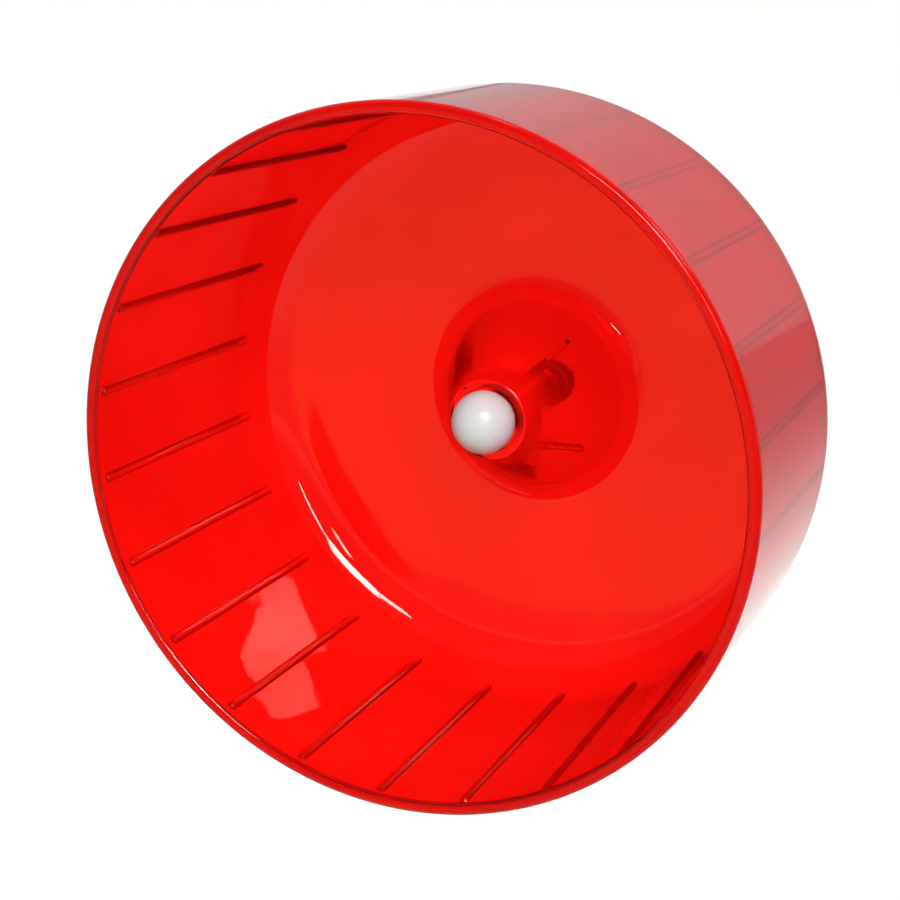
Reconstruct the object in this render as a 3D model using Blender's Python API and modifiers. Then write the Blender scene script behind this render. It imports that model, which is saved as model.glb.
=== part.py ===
"""Hamster wheel that bolts through the side of a cage.

A see-through red plastic drum, open at the front, spins on a short steel axle. The drum is one moulding:
a beaded rim, a drafted wall with tread ribs inside, a rounded corner, a slightly dished back and a hollow
hub cone that stands forward to the middle of the drum. The cone holds a sleeve with two plain bushes, and
a white ball cap keeps the drum on the axle. Behind the hub a flanged shoulder nut, a clamp washer and a
clamp nut hold the axle to a cage wall or to cage wires.

Metres, +Z up. The axle lies along Y, the open front faces -Y, and the origin is on the axle in the plane
where the shoulder nut meets the cage wall. Every turned piece is drawn upright, as a radius and a height
above that plane, and the two axis empties lay it down, so a height becomes a distance towards -Y.
"""

import math

import bmesh
import bpy
from mathutils import Matrix

# Clearances
SEAT_GAP = 0.0003
RUNNING_GAP = 0.0003

# Drum: rim, wall, corner and back
RIM_RADIUS = 0.070
DRUM_DEPTH = 0.071
WALL_THICKNESS = 0.0014
WALL_DRAFT = math.radians(3.85)
CORNER_RADIUS = 0.0130
BACK_DISH = math.radians(8.5)
BEAD_WIDTH = 0.0027
BEAD_HEIGHT = 0.0026
BEAD_PROUD = 0.0002
BACK_STANDOFF = 0.0025

# Tread ribs on the inside of the wall
RIB_COUNT = 24
RIB_RADIUS = 0.00095
RIB_FRONT_SETBACK = 0.0019
RIB_BACK_SETBACK = 0.0120

# Hub cone, its collar and the low ribs along its inside
HUB_BASE_RADIUS = 0.0247
HUB_FILLET = 0.0055
COLLAR_RADIUS = 0.0086
COLLAR_SETBACK = 0.0405
COLLAR_ROUND = 0.0006
HUB_RIB_COUNT = 4
HUB_RIB_THICKNESS = 0.0009
HUB_RIB_HEIGHT = 0.0010
HUB_RIB_SETBACK = 0.0051

# Sleeve, bushes and thrust washers
SLEEVE_WALL = 0.0012
BUSH_WALL = 0.0010
BUSH_SPACING = 0.0061
BUSH_FLANGE_WIDTH = 0.0014
BUSH_FLANGE_THICKNESS = 0.0009
THRUST_WASHER_RADIUS = 0.0048
THRUST_WASHER_THICKNESS = 0.0008

# Axle and ball cap
AXLE_RADIUS = 0.0020
AXLE_CHAMFER = 0.0004
AXLE_TAIL = 0.0012
CAP_RADIUS = 0.0065
CAP_PROUD = 0.0020
CAP_SUNK = 0.0017
CAP_GRIP = 0.0070

# Shoulder nut, clamp washer and clamp nut
NUT_ACROSS_FLATS = 0.0070
NUT_CHAMFER = 0.0004
SHOULDER_NUT_HEIGHT = 0.0046
SHOULDER_FLANGE_RADIUS = 0.0050
SHOULDER_FLANGE_THICKNESS = 0.0010
WIRE_GAP = 0.0030
CLAMP_WASHER_RADIUS = 0.0050
CLAMP_WASHER_THICKNESS = 0.0008
CLAMP_NUT_HEIGHT = 0.0032

# Turn of the drum on its axle, measured at a rib from +X towards +Z
RIB_PHASE = math.radians(8.6)

# Sides of the round pieces, and points on their rounded edges
DRUM_STEPS = 72
SMALL_STEPS = 28
BEAD_POINTS = 5
CORNER_POINTS = 8
DISH_POINTS = 4
FILLET_POINTS = 6
COLLAR_POINTS = 3
CAP_POINTS = 10
RIB_SIDES = 10
RIB_NOSE_POINTS = 3
HEX_SIDES = 6

# How far a cutter or a joined piece runs past the face it meets
OVERRUN = 0.0005

SHARP_ANGLE = math.radians(35)
MERGE_DISTANCE = 1e-6
QUARTER_TURN = math.radians(90)

# Heights above the mounting plane
BACK_FACE_HEIGHT = BACK_STANDOFF
BACK_FRONT_HEIGHT = BACK_FACE_HEIGHT + WALL_THICKNESS
RIM_HEIGHT = BACK_FACE_HEIGHT + DRUM_DEPTH
COLLAR_HEIGHT = RIM_HEIGHT - COLLAR_SETBACK
CAP_CENTRE_HEIGHT = COLLAR_HEIGHT + CAP_PROUD
CAP_BACK_HEIGHT = COLLAR_HEIGHT - CAP_SUNK
FRONT_WASHER_HEIGHT = CAP_BACK_HEIGHT - SEAT_GAP - THRUST_WASHER_THICKNESS
FRONT_FLANGE_HEIGHT = FRONT_WASHER_HEIGHT - RUNNING_GAP - BUSH_FLANGE_THICKNESS
RECESS_FLOOR_HEIGHT = FRONT_FLANGE_HEIGHT - SEAT_GAP
REAR_WASHER_HEIGHT = SHOULDER_NUT_HEIGHT + SEAT_GAP
REAR_FLANGE_HEIGHT = REAR_WASHER_HEIGHT + THRUST_WASHER_THICKNESS + RUNNING_GAP
REAR_BARREL_HEIGHT = REAR_FLANGE_HEIGHT + BUSH_FLANGE_THICKNESS
SLEEVE_END_HEIGHT = REAR_BARREL_HEIGHT + SEAT_GAP
BUSH_LENGTH = (FRONT_FLANGE_HEIGHT - REAR_BARREL_HEIGHT - BUSH_SPACING) / 2
HUB_RIB_END_HEIGHT = SLEEVE_END_HEIGHT + HUB_RIB_SETBACK
AXLE_FRONT_HEIGHT = CAP_BACK_HEIGHT + CAP_GRIP - SEAT_GAP
CLAMP_WASHER_HEIGHT = -WIRE_GAP - CLAMP_WASHER_THICKNESS
CLAMP_NUT_BASE_HEIGHT = CLAMP_WASHER_HEIGHT - SEAT_GAP - CLAMP_NUT_HEIGHT
AXLE_BACK_HEIGHT = CLAMP_NUT_BASE_HEIGHT - AXLE_TAIL

# Radii
BUSH_BORE = AXLE_RADIUS + RUNNING_GAP
BUSH_RADIUS = BUSH_BORE + BUSH_WALL
SLEEVE_BORE = BUSH_RADIUS + SEAT_GAP
SLEEVE_RADIUS = SLEEVE_BORE + SLEEVE_WALL
FIXED_BORE = AXLE_RADIUS + SEAT_GAP
RECESS_RADIUS = CAP_RADIUS + RUNNING_GAP
WALL_TOP_RADIUS = RIM_RADIUS - BEAD_PROUD
WALL_TOP_HEIGHT = RIM_HEIGHT - BEAD_HEIGHT


def arc(centre, radius, start, end, points):
    """Points on an arc about (radius, height) centre; angles run from +radius towards +height."""
    turns = [start + (end - start) * i / (points - 1) for i in range(points)]
    return [(centre[0] + radius * math.cos(t), centre[1] + radius * math.sin(t)) for t in turns]


def wall_radius(height, inset):
    """Radius of the drafted wall at a height, inset square to the wall from its outer face."""
    return WALL_TOP_RADIUS - (WALL_TOP_HEIGHT - height) * math.tan(WALL_DRAFT) - inset / math.cos(WALL_DRAFT)


def corner_centre():
    """Centre shared by the outer and inner arcs of the rounded corner between wall and back. The dished back
    rises by half its end slope times its width, and that width grows with the centre's height, because the
    wall leans."""
    half_slope = math.tan(BACK_DISH) / 2
    width_at_zero = wall_radius(0, CORNER_RADIUS) + CORNER_RADIUS * math.sin(BACK_DISH) - HUB_BASE_RADIUS
    height = BACK_FACE_HEIGHT + half_slope * width_at_zero + CORNER_RADIUS * math.cos(BACK_DISH)
    height /= 1 - half_slope * math.tan(WALL_DRAFT)
    return wall_radius(height, CORNER_RADIUS), height


def dished_back(inset):
    """The back between hub foot and corner, inset from its outer face: a parabola that starts flat at the
    hub and ends at the dish's slope. Its two ends belong to the arcs beside it and are left out."""
    centre = corner_centre()
    radius = CORNER_RADIUS - inset
    end_radius = centre[0] + radius * math.sin(BACK_DISH)
    end_height = centre[1] - radius * math.cos(BACK_DISH)
    width = end_radius - HUB_BASE_RADIUS
    rise = width * math.tan(BACK_DISH) / 2
    shares = [i / (DISH_POINTS - 1) for i in range(1, DISH_POINTS - 1)]
    return [(HUB_BASE_RADIUS + share * width, end_height + rise * (share ** 2 - 1)) for share in shares]


def fillet_centre():
    """Centre shared by the front and rear arcs where the hub cone rises from the back."""
    return HUB_BASE_RADIUS, BACK_FRONT_HEIGHT + HUB_FILLET


def cone_angle():
    """Half angle of the hub cone: the line from the collar that just touches the base fillet."""
    across = fillet_centre()[0] - COLLAR_RADIUS
    down = COLLAR_HEIGHT - COLLAR_ROUND - fillet_centre()[1]
    return math.atan2(across, down) - math.asin(HUB_FILLET / math.hypot(across, down))


def cone_radius(height, inset):
    """Radius of the hub cone at a height, inset square to the cone from its front face."""
    drop = COLLAR_HEIGHT - COLLAR_ROUND - height
    return COLLAR_RADIUS + drop * math.tan(cone_angle()) - inset / math.cos(cone_angle())


def bead_profile():
    """The rounded bead, from its inner foot over the front to its outer foot."""
    round_radius = BEAD_HEIGHT / 2
    inner = RIM_RADIUS - BEAD_WIDTH + round_radius
    outer = RIM_RADIUS - round_radius
    middle = RIM_HEIGHT - round_radius
    points = arc((inner, middle), round_radius, math.pi, QUARTER_TURN, BEAD_POINTS)
    points += arc((outer, middle), round_radius, QUARTER_TURN, 0, BEAD_POINTS)
    points.append((WALL_TOP_RADIUS, WALL_TOP_HEIGHT))
    return points


def outside_profile():
    """The outer corner and the back of the drum, then up the hollow of the hub to the sleeve's end."""
    rear_fillet = HUB_FILLET + WALL_THICKNESS
    points = arc(corner_centre(), CORNER_RADIUS, -WALL_DRAFT, BACK_DISH - QUARTER_TURN, CORNER_POINTS)
    points += reversed(dished_back(0))
    points += arc(fillet_centre(), rear_fillet, -QUARTER_TURN, -math.pi + cone_angle(), FILLET_POINTS)
    ceiling = RECESS_FLOOR_HEIGHT - WALL_THICKNESS
    points.append((cone_radius(ceiling, WALL_THICKNESS), ceiling))
    points.append((SLEEVE_RADIUS, ceiling))
    points.append((SLEEVE_RADIUS, SLEEVE_END_HEIGHT))
    points.append((SLEEVE_BORE, SLEEVE_END_HEIGHT))
    return points


def inside_profile():
    """Up the sleeve's bore and the cap's recess, over the collar, down the cone and out to the wall."""
    points = [(SLEEVE_BORE, RECESS_FLOOR_HEIGHT), (RECESS_RADIUS, RECESS_FLOOR_HEIGHT)]
    points.append((RECESS_RADIUS, COLLAR_HEIGHT))
    lip = (COLLAR_RADIUS - COLLAR_ROUND, COLLAR_HEIGHT - COLLAR_ROUND)
    points += arc(lip, COLLAR_ROUND, QUARTER_TURN, cone_angle(), COLLAR_POINTS)
    points += arc(fillet_centre(), HUB_FILLET, -math.pi + cone_angle(), -QUARTER_TURN, FILLET_POINTS)
    points += dished_back(WALL_THICKNESS)
    inner_corner = CORNER_RADIUS - WALL_THICKNESS
    points += arc(corner_centre(), inner_corner, BACK_DISH - QUARTER_TURN, -WALL_DRAFT, CORNER_POINTS)
    points.append((wall_radius(WALL_TOP_HEIGHT, WALL_THICKNESS), WALL_TOP_HEIGHT))
    return points


def material(name, colour, roughness, metallic=0.0, transmission=0.0):
    made = bpy.data.materials.new(name)
    made.use_nodes = True
    shader = made.node_tree.nodes["Principled BSDF"]
    shader.inputs["Base Color"].default_value = colour
    shader.inputs["Roughness"].default_value = roughness
    shader.inputs["Metallic"].default_value = metallic
    shader.inputs["Transmission Weight"].default_value = transmission
    return made


def link(made, group, finish, parent):
    """Put an object in its collection, give it its material and hang it on its axis empty."""
    group.objects.link(made)
    made.data.materials.append(finish)
    made.parent = parent
    return made


def turned(name, profile, steps, closed):
    """A round piece: the profile, drawn at +X, turned about Z. An open profile ends on the axis."""
    mesh = bpy.data.meshes.new(name)
    count = len(profile)
    edges = [(i, i + 1) for i in range(count - 1)]
    if closed:
        edges.append((count - 1, 0))
    mesh.from_pydata([(radius, 0, height) for radius, height in profile], edges, [])
    made = bpy.data.objects.new(name, mesh)
    screw = made.modifiers.new("Turn", "SCREW")
    screw.axis = "Z"
    screw.steps = steps
    screw.render_steps = steps
    screw.use_merge_vertices = True
    screw.merge_threshold = MERGE_DISTANCE
    screw.use_normal_calculate = False
    return made


def ring_profile(inner, outer, low, high):
    """A plain ring, drawn down its outer side."""
    return [(inner, high), (outer, high), (outer, low), (inner, low)]


def applied(made):
    """Replace an object's mesh with its evaluated one and drop its modifiers."""
    depsgraph = bpy.context.evaluated_depsgraph_get()
    mesh = bpy.data.meshes.new_from_object(made.evaluated_get(depsgraph))
    made.modifiers.clear()
    made.data = mesh
    return made


def smooth(made):
    made.data.shade_smooth()
    made.data.set_sharp_from_angle(angle=SHARP_ANGLE)
    return made


def cutter(made, guides, parent):
    """A guide shape for a Boolean, left out of the finished part."""
    guides.objects.link(made)
    made.parent = parent
    made.hide_render = True
    made.display_type = "WIRE"
    return made


def combine(made, other, operation):
    boolean = made.modifiers.new(other.name, "BOOLEAN")
    boolean.object = other
    boolean.operation = operation
    boolean.solver = "EXACT"


def rib_capsule():
    """One tread rib upright on the axis: a thin rod with round ends."""
    length = WALL_TOP_HEIGHT - BACK_FACE_HEIGHT - RIB_FRONT_SETBACK - RIB_BACK_SETBACK
    top = arc((0, length), RIB_RADIUS, QUARTER_TURN, 0, RIB_NOSE_POINTS + 1)
    bottom = arc((0, 0), RIB_RADIUS, 0, -QUARTER_TURN, RIB_NOSE_POINTS + 1)
    profile = top + bottom
    profile[0] = (0, length + RIB_RADIUS)
    profile[-1] = (0, -RIB_RADIUS)
    return turned("rib_shape", profile, RIB_SIDES, closed=False)


def rib_places():
    """Where each rib stands, leaning with the wall, on the middle of a facet."""
    height = BACK_FACE_HEIGHT + RIB_BACK_SETBACK
    lean = Matrix.Rotation(WALL_DRAFT, 4, "Y")
    out = Matrix.Translation((wall_radius(height, WALL_THICKNESS), 0, height))
    half_facet = math.pi / DRUM_STEPS
    for i in range(RIB_COUNT):
        yield Matrix.Rotation(half_facet + 2 * math.pi * i / RIB_COUNT, 4, "Z") @ out @ lean


def add_ribs(drum, guides, parent):
    """All ribs as one guide mesh, joined to the wall."""
    shape = rib_capsule()
    guides.objects.link(shape)
    bpy.context.view_layer.update()
    applied(shape)
    ribs = bmesh.new()
    for place in rib_places():
        first = len(ribs.verts)
        ribs.from_mesh(shape.data)
        ribs.verts.ensure_lookup_table()
        bmesh.ops.transform(ribs, matrix=place, verts=ribs.verts[first:])
    mesh = bpy.data.meshes.new("ribs")
    ribs.to_mesh(mesh)
    ribs.free()
    bpy.data.objects.remove(shape)
    combine(drum, cutter(bpy.data.objects.new("ribs", mesh), guides, parent), "UNION")


def hub_rib_solid(turn):
    """One low rib along the inside of the hub cone, from inside the cone's wall and under its ceiling."""
    top = RECESS_FLOOR_HEIGHT - WALL_THICKNESS / 2
    bottom = HUB_RIB_END_HEIGHT
    crest = WALL_THICKNESS + HUB_RIB_HEIGHT
    root = WALL_THICKNESS / 2
    outline = [(cone_radius(top, crest), top), (cone_radius(bottom, crest), bottom)]
    outline += [(cone_radius(bottom, root), bottom), (cone_radius(top, root), top)]
    rib = bmesh.new()
    corners = [rib.verts.new((radius, -HUB_RIB_THICKNESS / 2, height)) for radius, height in outline]
    face = rib.faces.new(corners)
    grown = bmesh.ops.extrude_face_region(rib, geom=[face])
    moved = [item for item in grown["geom"] if isinstance(item, bmesh.types.BMVert)]
    bmesh.ops.translate(rib, verts=moved, vec=(0, HUB_RIB_THICKNESS, 0))
    bmesh.ops.recalc_face_normals(rib, faces=rib.faces)
    bmesh.ops.rotate(rib, verts=rib.verts, matrix=Matrix.Rotation(turn, 3, "Z"))
    return rib


def add_hub_ribs(drum, guides, parent):
    """The ribs that stiffen the hub cone, in line with tread ribs."""
    half_facet = math.pi / DRUM_STEPS
    for i in range(HUB_RIB_COUNT):
        turn = half_facet + 2 * math.pi * (i + 0.5) / HUB_RIB_COUNT
        name = "hub_rib_%d" % (i + 1)
        mesh = bpy.data.meshes.new(name)
        rib = hub_rib_solid(turn)
        rib.to_mesh(mesh)
        rib.free()
        combine(drum, cutter(bpy.data.objects.new(name, mesh), guides, parent), "UNION")


def make_drum(parts, guides, finish, axis):
    """The one-piece moulded drum."""
    section = bead_profile() + outside_profile() + inside_profile()
    drum = turned("wheel_drum", section, DRUM_STEPS, closed=True)
    link(drum, parts, finish, axis)
    add_hub_ribs(drum, guides, axis)
    add_ribs(drum, guides, axis)
    turn = RIB_PHASE - math.pi / DRUM_STEPS
    for made in [drum] + list(guides.objects):
        made.rotation_euler.z = turn
    return drum


def bush_profile(flange_low, flange_high, barrel_end):
    """A flanged bush: its barrel runs into the sleeve, towards barrel_end."""
    flange = BUSH_RADIUS + BUSH_FLANGE_WIDTH
    if barrel_end < flange_low:
        return [(BUSH_BORE, flange_high), (flange, flange_high), (flange, flange_low),
                (BUSH_RADIUS, flange_low), (BUSH_RADIUS, barrel_end), (BUSH_BORE, barrel_end)]
    return [(BUSH_BORE, barrel_end), (BUSH_RADIUS, barrel_end), (BUSH_RADIUS, flange_high),
            (flange, flange_high), (flange, flange_low), (BUSH_BORE, flange_low)]


def make_bushes(parts, finish, axis):
    """A plain bush in each end of the sleeve, its flange outside."""
    top = FRONT_FLANGE_HEIGHT + BUSH_FLANGE_THICKNESS
    front = bush_profile(FRONT_FLANGE_HEIGHT, top, FRONT_FLANGE_HEIGHT - BUSH_LENGTH)
    rear = bush_profile(REAR_FLANGE_HEIGHT, REAR_BARREL_HEIGHT, REAR_BARREL_HEIGHT + BUSH_LENGTH)
    for name, profile in (("front_bush", front), ("rear_bush", rear)):
        link(turned(name, profile, SMALL_STEPS, closed=True), parts, finish, axis)


def make_washer(name, outer, low, thickness, parts, finish, axis):
    profile = ring_profile(FIXED_BORE, outer, low, low + thickness)
    link(turned(name, profile, SMALL_STEPS, closed=True), parts, finish, axis)


def make_axle(parts, finish, axis):
    """The steel axle, chamfered at both ends."""
    edge = AXLE_RADIUS - AXLE_CHAMFER
    profile = [(0, AXLE_FRONT_HEIGHT), (edge, AXLE_FRONT_HEIGHT)]
    profile.append((AXLE_RADIUS, AXLE_FRONT_HEIGHT - AXLE_CHAMFER))
    profile.append((AXLE_RADIUS, AXLE_BACK_HEIGHT + AXLE_CHAMFER))
    profile += [(edge, AXLE_BACK_HEIGHT), (0, AXLE_BACK_HEIGHT)]
    link(turned("axle", profile, SMALL_STEPS, closed=False), parts, finish, axis)


def make_cap(parts, finish, axis):
    """The ball cap: a sphere cut flat at the back, with a blind bore for the axle's end."""
    flat_angle = math.asin((CAP_BACK_HEIGHT - CAP_CENTRE_HEIGHT) / CAP_RADIUS)
    profile = arc((0, CAP_CENTRE_HEIGHT), CAP_RADIUS, QUARTER_TURN, flat_angle, CAP_POINTS)
    profile[0] = (0, CAP_CENTRE_HEIGHT + CAP_RADIUS)
    bore_end = CAP_BACK_HEIGHT + CAP_GRIP
    profile += [(FIXED_BORE, CAP_BACK_HEIGHT), (FIXED_BORE, bore_end), (0, bore_end)]
    link(turned("axle_cap", profile, SMALL_STEPS, closed=False), parts, finish, axis)


def hexagon(name, low, high):
    """A hexagonal block, flat sides NUT_ACROSS_FLATS apart."""
    block = bmesh.new()
    corner = NUT_ACROSS_FLATS / 2 / math.cos(math.pi / HEX_SIDES)
    bmesh.ops.create_cone(block, cap_ends=True, segments=HEX_SIDES, radius1=corner, radius2=corner,
                          depth=high - low)
    bmesh.ops.translate(block, verts=block.verts, vec=(0, 0, (low + high) / 2))
    mesh = bpy.data.meshes.new(name)
    block.to_mesh(mesh)
    block.free()
    return bpy.data.objects.new(name, mesh)


def make_nut(name, low, high, flange_high, parts, guides, finish, axis):
    """A hexagon nut: corners chamfered by a turned guide, then its flange joined and its bore cut."""
    nut = link(hexagon(name, low, high), parts, finish, axis)
    corner = NUT_ACROSS_FLATS / 2 / math.cos(math.pi / HEX_SIDES)
    flat = NUT_ACROSS_FLATS / 2
    envelope = [(0, high), (flat, high), (corner + OVERRUN, high - NUT_CHAMFER - OVERRUN),
                (corner + OVERRUN, low + NUT_CHAMFER + OVERRUN), (flat, low), (0, low)]
    shape = cutter(turned(name + "_envelope", envelope, SMALL_STEPS, closed=False), guides, axis)
    combine(nut, shape, "INTERSECT")
    if flange_high > low:
        flange = [(0, flange_high), (SHOULDER_FLANGE_RADIUS, flange_high)]
        flange += [(SHOULDER_FLANGE_RADIUS, low), (0, low)]
        shape = cutter(turned(name + "_flange", flange, SMALL_STEPS, closed=False), guides, axis)
        combine(nut, shape, "UNION")
    bore = [(0, high + OVERRUN), (FIXED_BORE, high + OVERRUN)]
    bore += [(FIXED_BORE, low - OVERRUN), (0, low - OVERRUN)]
    shape = cutter(turned(name + "_bore", bore, SMALL_STEPS, closed=False), guides, axis)
    combine(nut, shape, "DIFFERENCE")


def axis_empty(name, group):
    """An empty on the axle that lays upright pieces down: their +Z points to -Y."""
    empty = bpy.data.objects.new(name, None)
    empty.rotation_euler = (QUARTER_TURN, 0, 0)
    group.objects.link(empty)
    return empty


def main():
    for old in list(bpy.data.objects):
        bpy.data.objects.remove(old)
    parts = bpy.data.collections.new("hamster_wheel")
    guides = bpy.data.collections.new("guides")
    bpy.context.scene.collection.children.link(parts)
    bpy.context.scene.collection.children.link(guides)

    red = material("red_translucent_plastic", (0.80, 0.010, 0.006, 1), 0.12, transmission=0.6)
    white = material("white_plastic", (0.80, 0.78, 0.77, 1), 0.30)
    nylon = material("natural_nylon", (0.72, 0.70, 0.62, 1), 0.40)
    steel = material("zinc_plated_steel", (0.60, 0.61, 0.63, 1), 0.28, metallic=1.0)

    spinning = axis_empty("wheel_axis", parts)
    fixed = axis_empty("axle_axis", parts)
    make_drum(parts, guides, red, spinning)
    make_bushes(parts, nylon, spinning)
    make_cap(parts, white, fixed)
    make_washer("front_washer", THRUST_WASHER_RADIUS, FRONT_WASHER_HEIGHT, THRUST_WASHER_THICKNESS,
                parts, nylon, fixed)
    make_washer("rear_washer", THRUST_WASHER_RADIUS, REAR_WASHER_HEIGHT, THRUST_WASHER_THICKNESS,
                parts, nylon, fixed)
    make_axle(parts, steel, fixed)
    make_nut("shoulder_nut", 0, SHOULDER_NUT_HEIGHT, SHOULDER_FLANGE_THICKNESS, parts, guides, steel, fixed)
    make_washer("clamp_washer", CLAMP_WASHER_RADIUS, CLAMP_WASHER_HEIGHT, CLAMP_WASHER_THICKNESS,
                parts, steel, fixed)
    low = CLAMP_NUT_BASE_HEIGHT
    make_nut("clamp_nut", low, low + CLAMP_NUT_HEIGHT, low, parts, guides, steel, fixed)
    bpy.context.view_layer.update()
    for made in parts.objects:
        if made.type == "MESH":
            smooth(applied(made))


main()
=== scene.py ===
"""Hamster wheel: the finished look of a see-through drum wheel that spins on a short steel axle.

Metres, +Z up. The axle lies along Y and the open front faces -Y. A turned piece is worked out upright, as a
radius and a height over the mounting plane, and laid down at the end: a height becomes a distance towards -Y,
and a turn runs from +X towards +Z.
"""

import math
from collections import namedtuple

import bmesh
import bpy
import numpy as np
from bpy.props import FloatProperty, FloatVectorProperty, IntProperty, PointerProperty
from bpy.types import Operator, Panel, PropertyGroup
from mathutils import Matrix, Vector


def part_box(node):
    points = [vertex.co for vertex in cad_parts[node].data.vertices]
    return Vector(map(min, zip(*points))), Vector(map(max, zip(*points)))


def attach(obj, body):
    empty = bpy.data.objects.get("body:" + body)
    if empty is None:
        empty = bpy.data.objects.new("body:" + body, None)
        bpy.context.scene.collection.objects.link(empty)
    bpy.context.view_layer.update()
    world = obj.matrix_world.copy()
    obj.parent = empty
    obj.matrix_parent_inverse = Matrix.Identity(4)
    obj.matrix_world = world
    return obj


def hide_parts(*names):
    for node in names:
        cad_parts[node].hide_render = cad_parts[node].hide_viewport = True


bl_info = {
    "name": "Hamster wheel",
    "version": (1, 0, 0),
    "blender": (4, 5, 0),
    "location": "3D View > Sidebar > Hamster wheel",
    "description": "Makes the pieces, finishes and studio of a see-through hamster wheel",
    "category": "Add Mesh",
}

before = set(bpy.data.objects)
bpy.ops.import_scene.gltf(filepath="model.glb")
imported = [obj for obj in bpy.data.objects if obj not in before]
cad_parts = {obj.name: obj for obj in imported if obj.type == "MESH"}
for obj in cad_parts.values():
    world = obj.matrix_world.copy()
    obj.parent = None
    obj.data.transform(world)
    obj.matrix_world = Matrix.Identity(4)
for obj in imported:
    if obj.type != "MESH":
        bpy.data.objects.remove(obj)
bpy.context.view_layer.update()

WHEEL_BODY = "wheel"
FIXED_BODY = "axle_assembly"
MM = 0.001
QUARTER_TURN = math.pi / 2
FULL_TURN = 2 * math.pi
MERGE_DISTANCE = 1e-7
SHARP_ANGLE = math.radians(35)

# Rows along a profile and columns round the axle. With these the drum stays under 200,000 triangles.
CORNER_ROWS = 28         # along the drum's large corner, inside and outside
BACK_ROWS = 14           # from the hub's foot to the corner
FOOT_ROWS = 20           # along the arc of the hub's foot, in front
FOOT_ROWS_BEHIND = 16    # along the same arc behind
COLLAR_ROWS = 7          # along the collar's edge
BEAD_ROWS = 12           # along each of the bead's two rounds
BEAD_INSIDE_ROWS = 7     # of these, the ones that look into the drum
WALL_ROWS = 8            # up the straight inner wall
RIB_END_ROWS = 9         # more, along each round end of a tread rib
RIB_COLUMNS = 15         # across a tread rib
SPACE_COLUMNS = 6        # between two tread ribs
EDGE_ROWS = 6            # along a rounded edge
TURNED_COLUMNS = 72      # round a small turned piece and the axle
THREAD_ROWS = 10         # along one pitch of the thread
CAP_ROWS = 64            # from the ball cap's front to its back
CAP_COLUMNS = 96         # round the ball cap
NUT_COLUMNS = 144        # round a nut
NUT_END_ROWS = 9         # along a nut's chamfer
FLOOR_COLUMNS = 96       # round the studio floor

THREAD_DEPTH = 0.61                     # of the pitch
NUT_CONE_START = 0.97                   # radius of a nut's chamfer at the end, of half the flats
NUT_CONE_ANGLE = math.radians(30)

# Finishes of the red drum: least and greatest roughness, share of light let through, refractive index as
# it acts on the light that goes through, and weight of the clear gloss on top.
Finish = namedtuple("Finish", "low high clear index gloss")
RED_FINISHES = {
    "polished": Finish(0.02, 0.05, 0.85, 1.42, 0.0),
    "satin": Finish(0.04, 0.08, 0.88, 1.45, 0.0),
    "bead": Finish(0.06, 0.10, 0.35, 1.30, 0.0),
    "rib": Finish(0.06, 0.10, 0.60, 1.25, 0.3),
    "hub": Finish(0.04, 0.07, 0.74, 1.42, 0.0),
    "sleeve": Finish(0.08, 0.12, 0.90, 1.20, 0.0),
}
FINISH_NUMBER = {name: number for number, name in enumerate(RED_FINISHES)}
GLOSS_INDEX = 1.4
GLOSS_TINT = (1.0, 0.92, 0.82, 1)

# The part of a pattern's range that is spread over the whole, because a noise mostly stays inside it.
PATTERN_LOW, PATTERN_HIGH = 0.3, 0.7

# Sockets of a colour Mix node, whose names are used more than once.
MIX_FACTOR, MIX_FIRST, MIX_SECOND, MIX_RESULT = 0, 6, 7, 2

# Level direction from the wheel to the middle of the dark part of the sky.
DARK_SKY_WAY = (0.3, -0.95, 0)

# Softboxes that the wheel mirrors: direction from the rim's centre, direction of the first side, both sides
# in metres, and radiance.
SOFTBOXES = {
    "key_softbox": ((0.434, -0.687, 0.584), (0.890, 0.191, -0.413), (0.80, 0.48), 50),
    "low_strip": ((0.21, -0.735, 0.645), (0.16, 0.04, -0.01), (0.42, 0.24), 30),
    "side_strip": ((0.595, -0.72, 0.34), (-0.07, 0.04, 0.22), (0.60, 0.10), 36),
    "front_strip": ((0.32, -0.885, 0.34), (1, 0, 0), (0.12, 0.35), 26),
    "rear_softbox": ((0.68, 0.16, 0.71), (1, 0, 0), (0.60, 0.60), 10),
}
SOFTBOX_DISTANCE = 2.5
SOFTBOX_SPREAD = math.radians(20)

# Lamps over the floor, which keep it white: place on the floor, both sides in metres, radiance and colour.
# The front one has little blue, so the drum's mirror image of the floor stays red.
FLOOR_LAMPS = {
    "backdrop_light": ((-1.4, 2.6), (2.84, 5.1), 81, (1, 1, 1)),
    "front_floor_light": ((-0.7, -1.6), (1.8, 1.8), 50, (1.0, 0.85, 0.15)),
}
FLOOR_LAMP_HEIGHT = 2.4
FLOOR_LAMP_SPREAD = math.radians(10)


def node_radius(node):
    """Half the width of a round node's box."""
    low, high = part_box(node)
    return (high[0] - low[0]) / 2


def node_front(node):
    """Height of a node's front end over the mounting plane."""
    return -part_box(node)[0][1]


def node_back(node):
    """Height of a node's back end over the mounting plane."""
    return -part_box(node)[1][1]


def length(name, description, default):
    """A length setting, in metres."""
    return FloatProperty(name=name, description=description, default=default, min=0, precision=5,
                         unit="LENGTH")


def angle(name, description, degrees):
    """An angle setting, from degrees."""
    return FloatProperty(name=name, description=description, default=math.radians(degrees), subtype="ANGLE")


def linear(hex_colour):
    """An sRGB hex colour as linear red, green and blue."""
    parts = [int(hex_colour[i:i + 2], 16) / 255 for i in (0, 2, 4)]
    return tuple(c / 12.92 if c <= 0.04045 else ((c + 0.055) / 1.055) ** 2.4 for c in parts)


def colour(name, description, hex_colour):
    """A colour setting, from sRGB hex."""
    return FloatVectorProperty(name=name, description=description, default=linear(hex_colour), size=3,
                               min=0, max=1, subtype="COLOR")


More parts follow.
